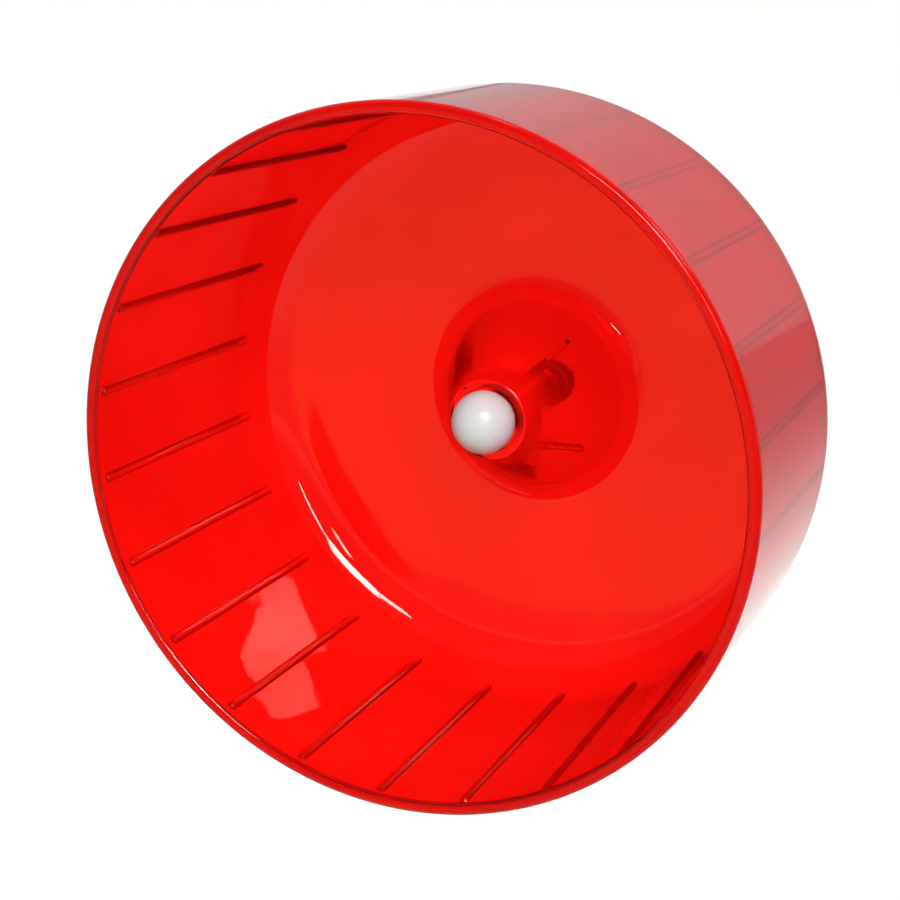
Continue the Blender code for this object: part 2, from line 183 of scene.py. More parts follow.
class WheelSizes(PropertyGroup):
    """Driving sizes of the wheel. What the frame knows comes from it."""

    rim_radius: length("Rim radius", "Outside of the bead", node_radius("wheel_drum"))
    rim_height: length("Rim height", "Front of the bead over the mounting plane", node_front("wheel_drum"))
    back_height: length("Back height", "Back of the drum over the mounting plane", node_back("wheel_drum"))
    wall: length("Wall", "Thickness of the moulding", 1.4 * MM)
    draft: angle("Draft", "Lean of the drum's wall", 3.85)
    corner: length("Corner", "Outer radius of the corner between wall and back", 13.0 * MM)
    dish: angle("Dish", "Slope of the back where it meets the corner, falling to none at the hub", 8.5)
    bead_width: length("Bead width", "Width of the bead across the wall", 2.7 * MM)
    bead_height: length("Bead height", "Height of the bead along the wall", 2.6 * MM)
    bead_proud: length("Bead proud", "How far the bead stands out of the wall", 0.2 * MM)
    rib_count: IntProperty(name="Ribs", description="Tread ribs round the wall", default=24, min=1)
    rib_radius: length("Rib radius", "Radius of a half round tread rib", 0.95 * MM)
    rib_front: length("Rib front", "From the bead back to a rib's front end", 1.9 * MM)
    rib_back: length("Rib back", "From the drum's back to a rib's back end", 12.0 * MM)
    rib_phase: angle("Rib phase", "Turn of the first rib", 8.6)
    hub_base: length("Hub base", "Radius where the hub cone's foot begins", 24.7 * MM)
    hub_fillet: length("Hub fillet", "Radius of the hub cone's foot", 5.5 * MM)
    collar_radius: length("Collar radius", "Outside of the collar at the hub's tip", 8.6 * MM)
    collar_setback: length("Collar setback", "From the rim back to the collar", 40.5 * MM)
    collar_round: length("Collar round", "Edge radius of the collar", 0.6 * MM)
    hub_rib_count: IntProperty(name="Hub ribs", description="Ribs along the cone's inside", default=4, min=1)
    hub_rib_thickness: length("Hub rib thickness", "Thickness of a hub rib", 0.9 * MM)
    hub_rib_height: length("Hub rib height", "How far a hub rib stands out of the cone's inside", 1.0 * MM)
    hub_rib_setback: length("Hub rib setback", "From the sleeve's end forward to the hub ribs", 5.1 * MM)
    sleeve_wall: length("Sleeve wall", "Wall of the sleeve round the bushes", 1.2 * MM)
    bush_wall: length("Bush wall", "Wall of a bush", 1.0 * MM)
    bush_flange: length("Bush flange", "Thickness of a bush's flange", 0.9 * MM)
    gap: length("Gap", "Clearance between neighbouring pieces", 0.3 * MM)
    cap_proud: length("Cap proud", "Centre of the ball cap in front of the collar", 2.0 * MM)
    cap_grip: length("Cap grip", "Depth of the blind bore in the cap", 7.0 * MM)
    thread_pitch: length("Thread pitch", "Pitch of the axle's thread", 0.7 * MM)
    nut_flats: length("Nut flats", "Width of a nut across its flats", 7.0 * MM)
    nut_chamfer: length("Nut chamfer", "Height of the chamfer on a nut's corners", 0.4 * MM)
    nut_flange: length("Nut flange", "Thickness of the shoulder nut's flange", 1.0 * MM)


class WheelColours(PropertyGroup):
    """Colours of the finishes."""

    red: colour("Red", "Light through one wall of the drum", "FA100A")
    red_deep: colour("Deep red", "The same where the wall runs a little thicker", "F00B07")
    white: colour("White", "Ball cap", "D5DEDF")
    nylon: colour("Nylon", "Bushes and thrust washers", "E3DDCE")
    zinc: colour("Zinc", "Plated steel", "E2E4E6")
    zinc_warm: colour("Warm zinc", "Plated steel where the passivation is thicker", "E4E1D8")
    floor: colour("Floor", "Studio floor", "F7F6F4")


class WheelStudio(PropertyGroup):
    """Camera and light of the studio."""

    azimuth: angle("Azimuth", "Camera's turn round the wheel", 22.96)
    elevation: angle("Elevation", "Camera's height angle", 14.73)
    distance: length("Distance", "Camera to the rim's plane, along the view", 563.3 * MM)
    right: length("Right", "Camera's place right of the rim's centre", 8.31 * MM)
    above: length("Above", "Camera's place above the rim's centre, square to the view", 3.44 * MM)
    lens: FloatProperty(name="Lens", description="Focal length in millimetres", default=118.64, min=1)
    floor_drop: length("Floor drop", "Floor under the axle", 300 * MM)
    floor_radius: length("Floor radius", "Size of the floor", 9000 * MM)
    sky: FloatProperty(name="Sky", description="Brightness of the studio's ambient light", default=0.5, min=0)
    dark_sky: FloatProperty(name="Dark sky", description="Brightness high up in front", default=0.12, min=0)


def arc(centre, radius, start, end, count):
    """Points on a circle: centre plus radius times (cosine, sine) of evenly spaced turns."""
    turn = np.linspace(start, end, count)
    return np.column_stack([centre[0] + radius * np.cos(turn), centre[1] + radius * np.sin(turn)])


def rounded(corners, radii):
    """A polygon with its corners rounded. Each corner becomes an arc about the point that lies one radius
    inside both of its sides, and a corner with radius 0 stays sharp."""
    corners = np.asarray(corners, float)
    points = []
    for i, radius in enumerate(radii):
        here = corners[i]
        if radius == 0:
            points.append(here[None])
            continue
        to_last = corners[i - 1] - here
        to_next = corners[(i + 1) % len(corners)] - here
        to_last = to_last / np.linalg.norm(to_last)
        to_next = to_next / np.linalg.norm(to_next)
        half = math.acos(np.clip(to_last @ to_next, -1, 1)) / 2
        middle = to_last + to_next
        centre = here + middle / np.linalg.norm(middle) * radius / math.sin(half)
        first = here + to_last * radius / math.tan(half) - centre
        last = here + to_next * radius / math.tan(half) - centre
        sweep = math.acos(np.clip(first @ last / radius ** 2, -1, 1))
        share = np.linspace(0, 1, EDGE_ROWS)[:, None]
        swept = np.sin((1 - share) * sweep) * first + np.sin(share * sweep) * last
        points.append(centre + swept / math.sin(sweep))
    return np.concatenate(points)


def laid_down(radius, height, turn):
    """Radius, height and turn as a point: x and z are the radius times the turn's cosine and sine, and y is
    minus the height."""
    radius, height, turn = np.broadcast_arrays(radius, height, turn)
    return np.stack([radius * np.cos(turn), -height, radius * np.sin(turn)], axis=-1)


def with_finish(parts):
    """The parts of a profile as one, and the number of each row's finish."""
    numbers = [np.full(len(rows), FINISH_NUMBER[name]) for name, rows in parts]
    return np.concatenate([rows for name, rows in parts]), np.concatenate(numbers)


def cleaned(mesh):
    """The mesh with its doubles merged and its faces pointing outwards."""
    work = bmesh.new()
    work.from_mesh(mesh)
    bmesh.ops.remove_doubles(work, verts=work.verts, dist=MERGE_DISTANCE)
    bmesh.ops.recalc_face_normals(work, faces=work.faces)
    work.to_mesh(mesh)
    work.free()
    return mesh


def grid_mesh(name, points, finish=None, closed=True):
    """A mesh over a grid of points. Columns run round and always close, rows close too where the profile is
    a ring, and rows on the axis are merged to one point. The finish of a face is that of its first corner."""
    rows, columns = points.shape[:2]
    index = np.arange(rows * columns).reshape(rows, columns)
    here = index if closed else index[:-1]
    below = np.roll(index, -1, axis=0) if closed else index[1:]
    quads = np.stack([here, below, np.roll(below, -1, axis=1), np.roll(here, -1, axis=1)], axis=-1)
    mesh = bpy.data.meshes.new(name)
    mesh.from_pydata(points.reshape(-1, 3), [], quads.reshape(-1, 4))
    if finish is not None:
        mesh.polygons.foreach_set("material_index", finish[:len(here)].ravel().astype(np.int32))
    return cleaned(mesh)


def turned_mesh(name, profile, columns, closed=True):
    """A turned piece: its profile of (radius, height) at evenly spaced turns."""
    turn = np.arange(columns) * FULL_TURN / columns
    return grid_mesh(name, laid_down(profile[:, :1], profile[:, 1:], turn), closed=closed)


def finished(mesh, body, node, slot):
    """The mesh as a smooth-shaded object that rides on a body and stands for a node. It gets the slot's
    material unless it has its own."""
    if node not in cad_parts:
        raise RuntimeError("the frame has no node named " + node)
    mesh.shade_smooth()
    mesh.set_sharp_from_angle(angle=SHARP_ANGLE)
    if not mesh.materials:
        mesh.materials.append(slot_material(slot))
    piece = bpy.data.objects.new(mesh.name, mesh)
    bpy.context.scene.collection.objects.link(piece)
    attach(piece, body)
    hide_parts(node)
    return piece


def wall_radius(s, height, inset):
    """Radius of the leaning wall at a height, inset square to the wall from its outer face: the radius at
    the bead's foot less the drop times the tangent of the draft, less the inset over its cosine."""
    drop = s.rim_height - s.bead_height - height
    return s.rim_radius - s.bead_proud - drop * math.tan(s.draft) - inset / math.cos(s.draft)


def corner_centre(s):
    """Centre that both arcs of the drum's rounded corner share. The back rises as a parabola from the hub's
    foot and meets the corner at the dish's slope, so its rise is half that slope times its width, and the
    centre lies a corner's radius above its end, square to it. The width grows with the centre's height, as
    the wall leans, so the height is the solution of one linear equation."""
    half_slope = math.tan(s.dish) / 2
    width_at_zero = wall_radius(s, 0, s.corner) + s.corner * math.sin(s.dish) - s.hub_base
    height = s.back_height + half_slope * width_at_zero + s.corner * math.cos(s.dish)
    height /= 1 - half_slope * math.tan(s.draft)
    return wall_radius(s, height, s.corner), height


def dished_back(s, inset):
    """The back from the hub's foot to the corner, inset from its outer face: the height rises as the square
    of the way from the foot, to the dish's slope at the corner."""
    centre = corner_centre(s)
    radius = s.corner - inset
    end = (centre[0] + radius * math.sin(s.dish), centre[1] - radius * math.cos(s.dish))
    share = np.linspace(0, 1, BACK_ROWS)
    width = end[0] - s.hub_base
    rise = width * math.tan(s.dish) / 2
    return np.column_stack([s.hub_base + share * width, end[1] + rise * (share ** 2 - 1)])


def fillet_centre(s):
    """Centre that both arcs of the hub cone's foot share."""
    return s.hub_base, s.back_height + s.wall + s.hub_fillet


def collar_height(s):
    """Height of the collar's front at the hub's tip."""
    return s.rim_height - s.collar_setback


def cone_angle(s):
    """Half angle of the hub cone: of the line from the collar's edge that just touches the foot's arc."""
    across = fillet_centre(s)[0] - s.collar_radius
    down = collar_height(s) - s.collar_round - fillet_centre(s)[1]
    return math.atan2(across, down) - math.asin(s.hub_fillet / math.hypot(across, down))


def cone_radius(s, height, inset):
    """Radius of the hub cone at a height, inset square to the cone from its front face."""
    drop = collar_height(s) - s.collar_round - height
    return s.collar_radius + drop * math.tan(cone_angle(s)) - inset / math.cos(cone_angle(s))


def bore_radius(s):
    """Radius of every bore that the axle runs in, one gap wider than the axle."""
    return node_radius("axle") + s.gap


def bush_radius(s):
    """Outside of a bush's barrel."""
    return bore_radius(s) + s.bush_wall


def recess_floor(s):
    """Height of the floor under the ball cap, one gap behind the front bush."""
    return node_front("front_bush") - s.bush_flange - s.gap


def sleeve_end(s):
    """Height of the sleeve's back end, one gap in front of the rear bush's flange."""
    return node_back("rear_bush") + s.bush_flange + s.gap


def inner_wall(s):
    """Rows up the inside of the wall, from the inner corner's arc to the bead's foot, as radius, height,
    distance along the wall and distance in from the wall's straight line. A row at distance t past the arc's
    end lies on the straight wall, and a negative t lies on the arc, at the turn t over the arc's radius. The
    rows crowd where a rib's round ends are."""
    centre = corner_centre(s)
    radius = s.corner - s.wall
    foot_height = centre[1] - radius * math.sin(s.draft)
    top = (s.rim_height - s.bead_height - foot_height) / math.cos(s.draft)
    start = (s.back_height + s.rib_back - foot_height) / math.cos(s.draft)
    end = start + s.rim_height - s.bead_height - s.back_height - s.rib_front - s.rib_back
    curl = s.rib_radius * np.cos(np.linspace(0, QUARTER_TURN, RIB_END_ROWS))
    arc_start = (s.draft + s.dish - QUARTER_TURN) * radius
    rows = np.concatenate([np.linspace(arc_start, 0, CORNER_ROWS), start - curl, end + curl[::-1],
                           np.linspace(0, top, WALL_ROWS + 1)[1:]])
    rows = np.unique(rows.round(9))
    on_arc = np.minimum(rows, 0) / radius - s.draft
    straight = np.maximum(rows, 0)
    r = centre[0] + radius * np.cos(on_arc) + straight * math.sin(s.draft)
    h = centre[1] + radius * np.sin(on_arc) + straight * math.cos(s.draft)
    foot = (centre[0] + radius * math.cos(s.draft), foot_height)
    along = (r - foot[0]) * math.sin(s.draft) + (h - foot[1]) * math.cos(s.draft)
    inward = -(r - foot[0]) * math.cos(s.draft) + (h - foot[1]) * math.sin(s.draft)
    past_end = np.maximum(np.maximum(start - along, along - end), 0)
    return r, h, past_end, inward


def outside_profile(s):
    """From the bead's inner foot over the front, down the outside, under the back and up the hollow hub, with
    each row's finish."""
    round_radius = s.bead_height / 2
    middle = s.rim_height - round_radius
    bead_in = (s.rim_radius - s.bead_width + round_radius, middle)
    bead_out = (s.rim_radius - round_radius, middle)
    foot = s.rim_height - s.bead_height
    ceiling = recess_floor(s) - s.wall
    sleeve = bush_radius(s) + s.gap + s.sleeve_wall
    inner_round = arc(bead_in, round_radius, math.pi, QUARTER_TURN, BEAD_ROWS)
    return with_finish([
        ("polished", inner_round[:BEAD_INSIDE_ROWS]),
        ("bead", inner_round[BEAD_INSIDE_ROWS:]),
        ("bead", arc(bead_out, round_radius, QUARTER_TURN, 0, BEAD_ROWS)),
        ("satin", np.array([(s.rim_radius - s.bead_proud, foot)])),
        ("satin", arc(corner_centre(s), s.corner, -s.draft, s.dish - QUARTER_TURN, CORNER_ROWS)),
        ("polished", dished_back(s, 0)[-2:0:-1]),
        ("polished", arc(fillet_centre(s), s.hub_fillet + s.wall, -QUARTER_TURN, -math.pi + cone_angle(s),
                         FOOT_ROWS_BEHIND)),
        ("sleeve", rounded([(cone_radius(s, ceiling, s.wall), ceiling), (sleeve, ceiling),
                            (sleeve, sleeve_end(s)), (sleeve - s.sleeve_wall, sleeve_end(s))],
                           (0, 0, s.gap, s.gap))),
    ])


def hub_profile(s):
    """From the sleeve's bore through the cap's recess, over the collar, down the cone to the back, with each
    row's finish."""
    bore = bush_radius(s) + s.gap
    recess = node_radius("axle_cap") + s.gap
    lip = (s.collar_radius - s.collar_round, collar_height(s) - s.collar_round)
    return with_finish([
        ("sleeve", np.array([(bore, recess_floor(s)), (recess, recess_floor(s)),
                             (recess, collar_height(s))])),
        ("hub", arc(lip, s.collar_round, QUARTER_TURN, cone_angle(s), COLLAR_ROWS)),
        ("polished", arc(fillet_centre(s), s.hub_fillet, -math.pi + cone_angle(s), -QUARTER_TURN, FOOT_ROWS)),
        ("polished", dished_back(s, s.wall)[1:-1]),
    ])


def drum_columns(s):
    """Turns round the drum, crowded across each rib. A column is a turn plus a share k of the turn that a
    rib's radius takes at the row's radius; k runs as a sine across a rib and falls evenly between ribs."""
    across = np.sin(np.linspace(-QUARTER_TURN, QUARTER_TURN, RIB_COLUMNS))
    between = np.linspace(0, 1, SPACE_COLUMNS + 2)[1:-1]
    pitch = FULL_TURN / s.rib_count
    base = np.concatenate([np.zeros_like(across), between * pitch])
    k = np.concatenate([across, 1 - 2 * between])
    on_rib = np.concatenate([np.ones_like(across), np.zeros_like(between)])
    turns = s.rib_phase + np.arange(s.rib_count)[:, None] * pitch + base
    return turns.ravel(), np.tile(k, s.rib_count), np.tile(on_rib, s.rib_count)


def drum_mesh(s):
    """The one-piece drum. Its ribs are rods with round ends, half sunk in the inner wall: a point of the wall
    moves in to the root of rib radius squared less its squared distances across and past the rib's end. The
    faces on a rib and next to one have the rib's finish, and the wall's last row has the bead's."""
    outside, outside_finish = outside_profile(s)
    hub, hub_finish = hub_profile(s)
    wall_r, wall_h, past_end, inward = inner_wall(s)
    r = np.concatenate([outside[:, 0], hub[:, 0], wall_r])[:, None]
    h = np.concatenate([outside[:, 1], hub[:, 1], wall_h])[:, None]
    turns, k, on_rib = drum_columns(s)
    held = np.clip(r, wall_r.max() - s.corner, None)
    turn = turns + k * s.rib_radius / held
    across = np.where(on_rib > 0, k, 1)
    square = s.rib_radius ** 2 * (1 - across ** 2) - past_end[:, None] ** 2
    lift = np.maximum(np.sqrt(np.maximum(square, 0)) - inward[:, None], 0)
    first = len(r) - len(wall_r)
    r = np.repeat(r, len(turns), axis=1)
    h = np.repeat(h, len(turns), axis=1)
    r[first:] -= lift * math.cos(s.draft)
    h[first:] += lift * math.sin(s.draft)
    wall_finish = np.full(lift.shape, FINISH_NUMBER["polished"])
    raised = lift > MERGE_DISTANCE
    raised |= np.roll(raised, -1, axis=0)
    raised |= np.roll(raised, -1, axis=1)
    wall_finish[raised] = FINISH_NUMBER["rib"]
    wall_finish[-1] = FINISH_NUMBER["bead"]
    row_finish = np.concatenate([outside_finish, hub_finish])[:, None]
    finish = np.concatenate([np.repeat(row_finish, len(turns), axis=1), wall_finish])
    return grid_mesh("red_drum", laid_down(r, h, turn), finish)


def hub_rib_mesh(s, turn):
    """A low rib along the inside of the hub cone: a box that follows the cone's slope, with its root in the
    middle of the cone's wall."""
    top = recess_floor(s) - s.wall / 2
    bottom = sleeve_end(s) + s.hub_rib_setback
    crest = s.wall + s.hub_rib_height
    root = s.wall / 2
    outline = np.array([(cone_radius(s, top, crest), top), (cone_radius(s, bottom, crest), bottom),
                        (cone_radius(s, bottom, root), bottom), (cone_radius(s, top, root), top)])
    side = np.array([-1, 1])[:, None] * s.hub_rib_thickness / 2
    across = np.array([-math.sin(turn), 0, math.cos(turn)])
    points = laid_down(outline[:, 0], outline[:, 1], turn)[None] + side[..., None] * across
    sides = [(i, (i + 1) % 4, (i + 1) % 4 + 4, i + 4) for i in range(4)]
    mesh = bpy.data.meshes.new("hub_rib")
    mesh.from_pydata(points.reshape(-1, 3), [], [(0, 1, 2, 3), (7, 6, 5, 4)] + sides)
    mesh.polygons.foreach_set("material_index", np.full(len(mesh.polygons), FINISH_NUMBER["polished"]))
    return cleaned(mesh)


def joined(mesh, others):
    """The mesh with other closed meshes united with it."""
    base = bpy.data.objects.new(mesh.name, mesh)
    bpy.context.scene.collection.objects.link(base)
    tools = []
    for other in others:
        tool = bpy.data.objects.new(other.name, other)
        bpy.context.scene.collection.objects.link(tool)
        union = base.modifiers.new("Union", "BOOLEAN")
        union.operation = "UNION"
        union.solver = "EXACT"
        union.object = tool
        tools.append(tool)
    evaluated = base.evaluated_get(bpy.context.evaluated_depsgraph_get())
    result = bpy.data.meshes.new_from_object(evaluated)
    name = mesh.name
    for made in [base] + tools:
        bpy.data.objects.remove(made)
    for old in [mesh] + list(others):
        bpy.data.meshes.remove(old)
    result.name = name
    return result


def add(tree, kind, inputs=(), **settings):
    """Adds a node. Settings are its own options, and inputs map a socket's name or number to a value or to
    the output that feeds it."""
    node = tree.nodes.new(kind)
    for name, value in settings.items():
        setattr(node, name, value)
    for name, value in dict(inputs).items():
        if isinstance(value, bpy.types.NodeSocket):
            tree.links.new(value, node.inputs[name])
        else:
            node.inputs[name].default_value = value
    return node


def per_size(millimetres):
    """Scale of a pattern on Object coordinates whose features are that many millimetres across."""
    return 1 / (millimetres * MM)


def start_material(name, values):
    """A material whose Principled shader has those values, its node tree, the shader, and the Object
    coordinates that its patterns read."""
    material = bpy.data.materials.new(name)
    material.use_nodes = True
    tree = material.node_tree
    shader = tree.nodes["Principled BSDF"]
    for socket, value in values.items():
        shader.inputs[socket].default_value = value
    return material, tree, shader, add(tree, "ShaderNodeTexCoord").outputs["Object"]


def darker(shade, share):
    """A linear colour times a share."""
    return tuple(value * share for value in shade)


def tinted(tree, shader, pattern, first, second):
    """Makes a shader's colour go from the first linear colour to the second over a pattern's range."""
    share = add(tree, "ShaderNodeMapRange", {"Value": pattern.outputs["Fac"], "From Min": PATTERN_LOW,
                                             "From Max": PATTERN_HIGH})
    mixed = add(tree, "ShaderNodeMix", {MIX_FACTOR: share.outputs[0], MIX_FIRST: (*first, 1),
                                        MIX_SECOND: (*second, 1)}, data_type="RGBA")
    tree.links.new(mixed.outputs[MIX_RESULT], shader.inputs["Base Color"])


def surfaced(tree, shader, gloss, least, greatest, relief, millimetres):
    """Gives a shader a roughness from least to greatest over one pattern's range, and a bump by another
    pattern, whose full height is that many millimetres. The bump's normal is given back."""
    rough = add(tree, "ShaderNodeMapRange", {"Value": gloss.outputs["Fac"], "From Min": PATTERN_LOW,
                                             "From Max": PATTERN_HIGH, "To Min": least, "To Max": greatest})
    raised = add(tree, "ShaderNodeBump", {"Height": relief.outputs["Fac"], "Distance": millimetres * MM,
                                          "Strength": 1.0})
    tree.links.new(rough.outputs[0], shader.inputs["Roughness"])
    tree.links.new(raised.outputs[0], shader.inputs["Normal"])
    return raised.outputs[0]


def red_polystyrene(name, finish):
    """Clear tinted polystyrene, injection moulded: light goes straight through and comes out red, with a
    sharp surface gloss. Flow from the gate leaves faint differences in tint, and the mould's polish leaves a
    slow ripple that bends the reflections."""
    colours = bpy.context.scene.wheel_colours
    material, tree, shader, place = start_material("red_polystyrene_" + name, {
        "IOR": finish.index, "Transmission Weight": finish.clear, "Specular Tint": GLOSS_TINT,
        "Coat Weight": finish.gloss, "Coat IOR": GLOSS_INDEX})
    flow = add(tree, "ShaderNodeTexNoise", {"Vector": place, "Scale": per_size(26), "Detail": 2.0})
    haze = add(tree, "ShaderNodeTexNoise", {"Vector": place, "Scale": per_size(5), "Detail": 4.0})
    ripple = add(tree, "ShaderNodeTexNoise", {"Vector": place, "Scale": per_size(9), "Detail": 1.0})
    tinted(tree, shader, flow, colours.red, colours.red_deep)
    rippled = surfaced(tree, shader, haze, finish.low, finish.high, ripple, 0.02)
    tree.links.new(rippled, shader.inputs["Coat Normal"])
    return material


def clouded_tip(material, clear, s):
    """Lets less light straight through the hub's tip, where collar, recess and sleeve meet in thick plastic:
    the share rises smoothly from a third at the collar to the whole behind the ball cap's recess."""
    tree = material.node_tree
    place = add(tree, "ShaderNodeTexCoord").outputs["Object"]
    depth = add(tree, "ShaderNodeSeparateXYZ", {"Vector": place}).outputs["Y"]
    share = add(tree, "ShaderNodeMapRange", {"Value": depth, "From Min": -collar_height(s),
                                             "From Max": s.cap_grip - recess_floor(s), "To Min": clear / 3,
                                             "To Max": clear}, interpolation_type="SMOOTHSTEP")
    tree.links.new(share.outputs[0], tree.nodes["Principled BSDF"].inputs["Transmission Weight"])


def white_polypropylene(name):
    """White polypropylene, moulded in a plain ball: an even, slightly waxy white with a soft gloss and a
    faint orange peel."""
    white = bpy.context.scene.wheel_colours.white
    material, tree, shader, place = start_material(name, {
        "IOR": 1.49, "Subsurface Weight": 0.15, "Subsurface Radius": (1.0, 0.9, 0.8),
        "Subsurface Scale": 1.5 * MM})
    tone = add(tree, "ShaderNodeTexNoise", {"Vector": place, "Scale": per_size(7), "Detail": 2.0})
    peel = add(tree, "ShaderNodeTexNoise", {"Vector": place, "Scale": per_size(0.8), "Detail": 1.0})
    tinted(tree, shader, tone, white, darker(white, 0.96))
    surfaced(tree, shader, peel, 0.27, 0.33, peel, 0.004)
    return material


def natural_nylon(name):
    """Natural nylon, moulded: cream, a little cloudy, with a dull gloss that the turning parts have rubbed
    in rings a quarter of a millimetre apart."""
    cream = bpy.context.scene.wheel_colours.nylon
    material, tree, shader, place = start_material(name, {"IOR": 1.15, "Transmission Weight": 0.9})
    cloud = add(tree, "ShaderNodeTexNoise", {"Vector": place, "Scale": per_size(3), "Detail": 3.0})
    rub = add(tree, "ShaderNodeTexWave", {"Vector": place, "Scale": per_size(0.25) / FULL_TURN,
                                          "Distortion": 2.0, "Detail": 2.0},
              wave_type="RINGS", rings_direction="Y")
    tinted(tree, shader, cloud, cream, darker(cream, 0.9))
    surfaced(tree, shader, rub, 0.36, 0.46, rub, 0.003)
    return material


def zinc_plated_steel(name):
    """Steel turned from bar and bright zinc plated: bluish white metal with a warmer tint in patches and fine
    tool marks round the axis, a fifth of a millimetre apart."""
    colours = bpy.context.scene.wheel_colours
    material, tree, shader, place = start_material(name, {"Metallic": 1.0})
    patches = add(tree, "ShaderNodeTexNoise", {"Vector": place, "Scale": per_size(4), "Detail": 3.0})
    marks = add(tree, "ShaderNodeTexWave", {"Vector": place, "Scale": per_size(0.2) / FULL_TURN,
                                            "Distortion": 1.0, "Detail": 2.0},
                wave_type="RINGS", rings_direction="Y")
    tinted(tree, shader, patches, colours.zinc, colours.zinc_warm)
    surfaced(tree, shader, marks, 0.38, 0.48, marks, 0.004)
    return material


def pale_board(name):
    """Matt pale studio board with the faintest mottle."""
    pale = bpy.context.scene.wheel_colours.floor
    material, tree, shader, place = start_material(name, {"Roughness": 0.9})
    mottle = add(tree, "ShaderNodeTexNoise", {"Vector": place, "Scale": per_size(180), "Detail": 2.0})
    tinted(tree, shader, mottle, pale, darker(pale, 0.99))
    return material


def slot_material(slot):
    """The material of one of the record's slots, made once."""
    name, maker = SLOT_MATERIALS[slot]
    return bpy.data.materials.get(name) or maker(name)


SLOT_MATERIALS = {
    "white_plastic": ("white_polypropylene_moulded", white_polypropylene),
    "nylon": ("natural_nylon_moulded", natural_nylon),
    "steel": ("zinc_plated_turned_steel", zinc_plated_steel),
}


class WHEEL_OT_drum(Operator):
    """Make the see-through red drum with its bead, ribs, hub cone and sleeve"""

    bl_idname = "hamster_wheel.drum"
    bl_label = "Drum"

    def execute(self, context):
        s = context.scene.wheel_sizes
        turns = s.rib_phase + (np.arange(s.hub_rib_count) + 0.5) * FULL_TURN / s.hub_rib_count
        drum = drum_mesh(s)
        for name, finish in RED_FINISHES.items():
            drum.materials.append(red_polystyrene(name, finish))
        clouded_tip(drum.materials[FINISH_NUMBER["hub"]], RED_FINISHES["hub"].clear, s)
        mesh = joined(drum, [hub_rib_mesh(s, turn) for turn in turns])
        finished(mesh, WHEEL_BODY, "wheel_drum", "red_plastic")
        return {"FINISHED"}


class WHEEL_OT_bushes(Operator):
    """Make the flanged nylon bush in each end of the hub's sleeve"""

    bl_idname = "hamster_wheel.bushes"
    bl_label = "Bushes"

    def execute(self, context):
        s = context.scene.wheel_sizes
        bore = bore_radius(s)
        for node, sign in (("front_bush", 1), ("rear_bush", -1)):
            outer_end = node_front(node) if sign > 0 else node_back(node)
            inner_end = node_back(node) if sign > 0 else node_front(node)
            seat = outer_end - sign * s.bush_flange
            flange = node_radius(node)
            barrel = bush_radius(s)
            edge = s.gap / 2
            corners = [(bore, outer_end), (flange, outer_end), (flange, seat), (barrel, seat),
                       (barrel, inner_end), (bore, inner_end)]
            profile = rounded(corners, (edge, edge, edge, 0, edge, edge))
            mesh = turned_mesh("nylon_" + node, profile, TURNED_COLUMNS)
            finished(mesh, WHEEL_BODY, node, "nylon")
        return {"FINISHED"}


class WHEEL_OT_cap(Operator):
    """Make the white ball cap on the axle's front end"""

    bl_idname = "hamster_wheel.cap"
    bl_label = "Ball cap"

    def execute(self, context):
        s = context.scene.wheel_sizes
        radius = node_radius("axle_cap")
        centre = collar_height(s) + s.cap_proud
        back = node_back("axle_cap")
        bore = bore_radius(s)
        flat_turn = math.asin((back - centre) / radius)
        ball = arc((0, centre), radius, QUARTER_TURN, flat_turn, CAP_ROWS)
        ball[0] = (0, centre + radius)
        end = back + s.cap_grip
        blind = np.array([(bore, back), (bore, end), (0, end)])
        mesh = turned_mesh("white_ball_cap", np.concatenate([ball, blind]), CAP_COLUMNS, closed=False)
        finished(mesh, FIXED_BODY, "axle_cap", "white_plastic")
        return {"FINISHED"}


class WHEEL_OT_washers(Operator):
    """Make the two nylon thrust washers and the steel clamp washer"""

    bl_idname = "hamster_wheel.washers"
    bl_label = "Washers"

    def execute(self, context):
        s = context.scene.wheel_sizes
        bore = bore_radius(s)
        edge = s.gap / 2
        for node, slot in (("front_washer", "nylon"), ("rear_washer", "nylon"), ("clamp_washer", "steel")):
            low, high = node_back(node), node_front(node)
            outer = node_radius(node)
            profile = rounded([(bore, high), (outer, high), (outer, low), (bore, low)], (edge,) * 4)
            mesh = turned_mesh(slot + "_" + node, profile, TURNED_COLUMNS)
            finished(mesh, FIXED_BODY, node, slot)
        return {"FINISHED"}


def thread_cut(s, height, turn):
    """How deep the thread's groove is cut at a height and turn, from 0 on its crest to 1 in its root. The
    crest is an eighth of the pitch wide and the root a quarter, with straight flanks between."""
    phase = (height / s.thread_pitch - turn / FULL_TURN) % 1
    from_crest = np.abs(phase - 0.5)
    return np.clip((from_crest - 1 / 16) / (3 / 8 - 1 / 16), 0, 1)


